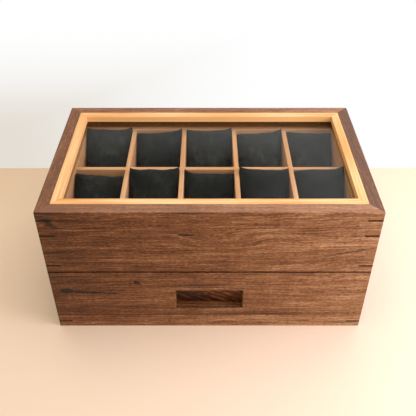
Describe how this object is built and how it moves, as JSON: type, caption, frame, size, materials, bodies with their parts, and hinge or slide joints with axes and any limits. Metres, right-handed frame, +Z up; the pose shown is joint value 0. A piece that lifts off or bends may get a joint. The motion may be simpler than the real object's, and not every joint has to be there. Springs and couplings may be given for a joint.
{
  "type": "watch box with drawer",
  "caption": "Walnut watch box with a hinged glass lid over pillowed compartments and a drawer with a finger pull below.",
  "frame": {"origin": "middle of the footprint, on the surface that the box stands on", "axes": "+X to the right seen from the front, +Y to the back where the lid's hinges are, +Z up; the drawer opens towards -Y"},
  "size_m": [0.356, 0.2192, 0.174],
  "materials": {
    "walnut": "oiled, satin",
    "figured_walnut": "oiled, satin",
    "spline_wood": "oiled, satin",
    "rim_wood": "lacquered, satin",
    "divider_wood": "sanded, matte",
    "drawer_wood": "sanded, matte",
    "panel_wood": "plywood, matte",
    "clear_glass": "polished",
    "pillow_suede": "brushed suede cloth",
    "lining_felt": "felt",
    "brass": "satin",
    "steel": "bright"
  },
  "bodies": {
    "case": {"back_board": "walnut", "back_liner": "divider_wood", "base_panel": "panel_wood", "bottom_front_rail": "walnut", "case_hinge_screws": "brass", "compartment_felt": "lining_felt", "compartment_floor": "panel_wood", "corner_splines": "spline_wood", "cross_divider_1": "divider_wood", "cross_divider_2": "divider_wood", "cross_divider_3": "divider_wood", "cross_divider_4": "divider_wood", "drawer_kickers": "drawer_wood", "drawer_stops": "drawer_wood", "front_liner": "divider_wood", "hinge_case_leaves": "brass", "hinge_pins": "brass", "left_liner": "divider_wood", "left_side_board": "walnut", "long_divider": "divider_wood", "right_liner": "divider_wood", "right_side_board": "walnut", "upper_front_board": "walnut"},
    "lid": {"back_glass_bead": "walnut", "back_rim": "rim_wood", "bead_brads": "steel", "front_glass_bead": "walnut", "front_rim": "rim_wood", "glass_pane": "clear_glass", "hinge_lid_leaves": "brass", "left_glass_bead": "walnut", "left_rim": "rim_wood", "lid_back_rail": "walnut", "lid_front_rail": "walnut", "lid_hinge_screws": "brass", "lid_left_rail": "walnut", "lid_right_rail": "walnut", "lid_splines": "spline_wood", "right_glass_bead": "walnut", "right_rim": "rim_wood"},
    "drawer": {"drawer_bottom": "panel_wood", "drawer_box_back": "drawer_wood", "drawer_box_front": "drawer_wood", "drawer_box_left": "drawer_wood", "drawer_box_right": "drawer_wood", "drawer_felt": "lining_felt", "drawer_front": "walnut", "drawer_front_screws": "steel", "pull_backing": "figured_walnut"},
    "pillow_back_1": {"pillow_back_1": "pillow_suede"},
    "pillow_back_2": {"pillow_back_2": "pillow_suede"},
    "pillow_back_3": {"pillow_back_3": "pillow_suede"},
    "pillow_back_4": {"pillow_back_4": "pillow_suede"},
    "pillow_back_5": {"pillow_back_5": "pillow_suede"},
    "pillow_front_1": {"pillow_front_1": "pillow_suede"},
    "pillow_front_2": {"pillow_front_2": "pillow_suede"},
    "pillow_front_3": {"pillow_front_3": "pillow_suede"},
    "pillow_front_4": {"pillow_front_4": "pillow_suede"},
    "pillow_front_5": {"pillow_front_5": "pillow_suede"}
  },
  "joints": [
    {"name": "lid_hinge", "type": "hinge", "parent": "case", "child": "lid", "pos_m": [0, 0.1085, 0.1527], "axis": [-1, 0, 0], "range_deg": [0, 95]},
    {"name": "drawer_slide", "type": "slide", "parent": "case", "child": "drawer", "axis": [0, -1, 0], "range_m": [0, 0.145]},
    {"name": "pillow_back_1_lift", "type": "slide", "parent": "case", "child": "pillow_back_1", "axis": [0, 0, 1], "range_m": [0, 0.003]},
    {"name": "pillow_back_2_lift", "type": "slide", "parent": "case", "child": "pillow_back_2", "axis": [0, 0, 1], "range_m": [0, 0.003]},
    {"name": "pillow_back_3_lift", "type": "slide", "parent": "case", "child": "pillow_back_3", "axis": [0, 0, 1], "range_m": [0, 0.003]},
    {"name": "pillow_back_4_lift", "type": "slide", "parent": "case", "child": "pillow_back_4", "axis": [0, 0, 1], "range_m": [0, 0.003]},
    {"name": "pillow_back_5_lift", "type": "slide", "parent": "case", "child": "pillow_back_5", "axis": [0, 0, 1], "range_m": [0, 0.003]},
    {"name": "pillow_front_1_lift", "type": "slide", "parent": "case", "child": "pillow_front_1", "axis": [0, 0, 1], "range_m": [0, 0.003]},
    {"name": "pillow_front_2_lift", "type": "slide", "parent": "case", "child": "pillow_front_2", "axis": [0, 0, 1], "range_m": [0, 0.003]},
    {"name": "pillow_front_3_lift", "type": "slide", "parent": "case", "child": "pillow_front_3", "axis": [0, 0, 1], "range_m": [0, 0.003]},
    {"name": "pillow_front_4_lift", "type": "slide", "parent": "case", "child": "pillow_front_4", "axis": [0, 0, 1], "range_m": [0, 0.003]},
    {"name": "pillow_front_5_lift", "type": "slide", "parent": "case", "child": "pillow_front_5", "axis": [0, 0, 1], "range_m": [0, 0.003]}
  ]
}
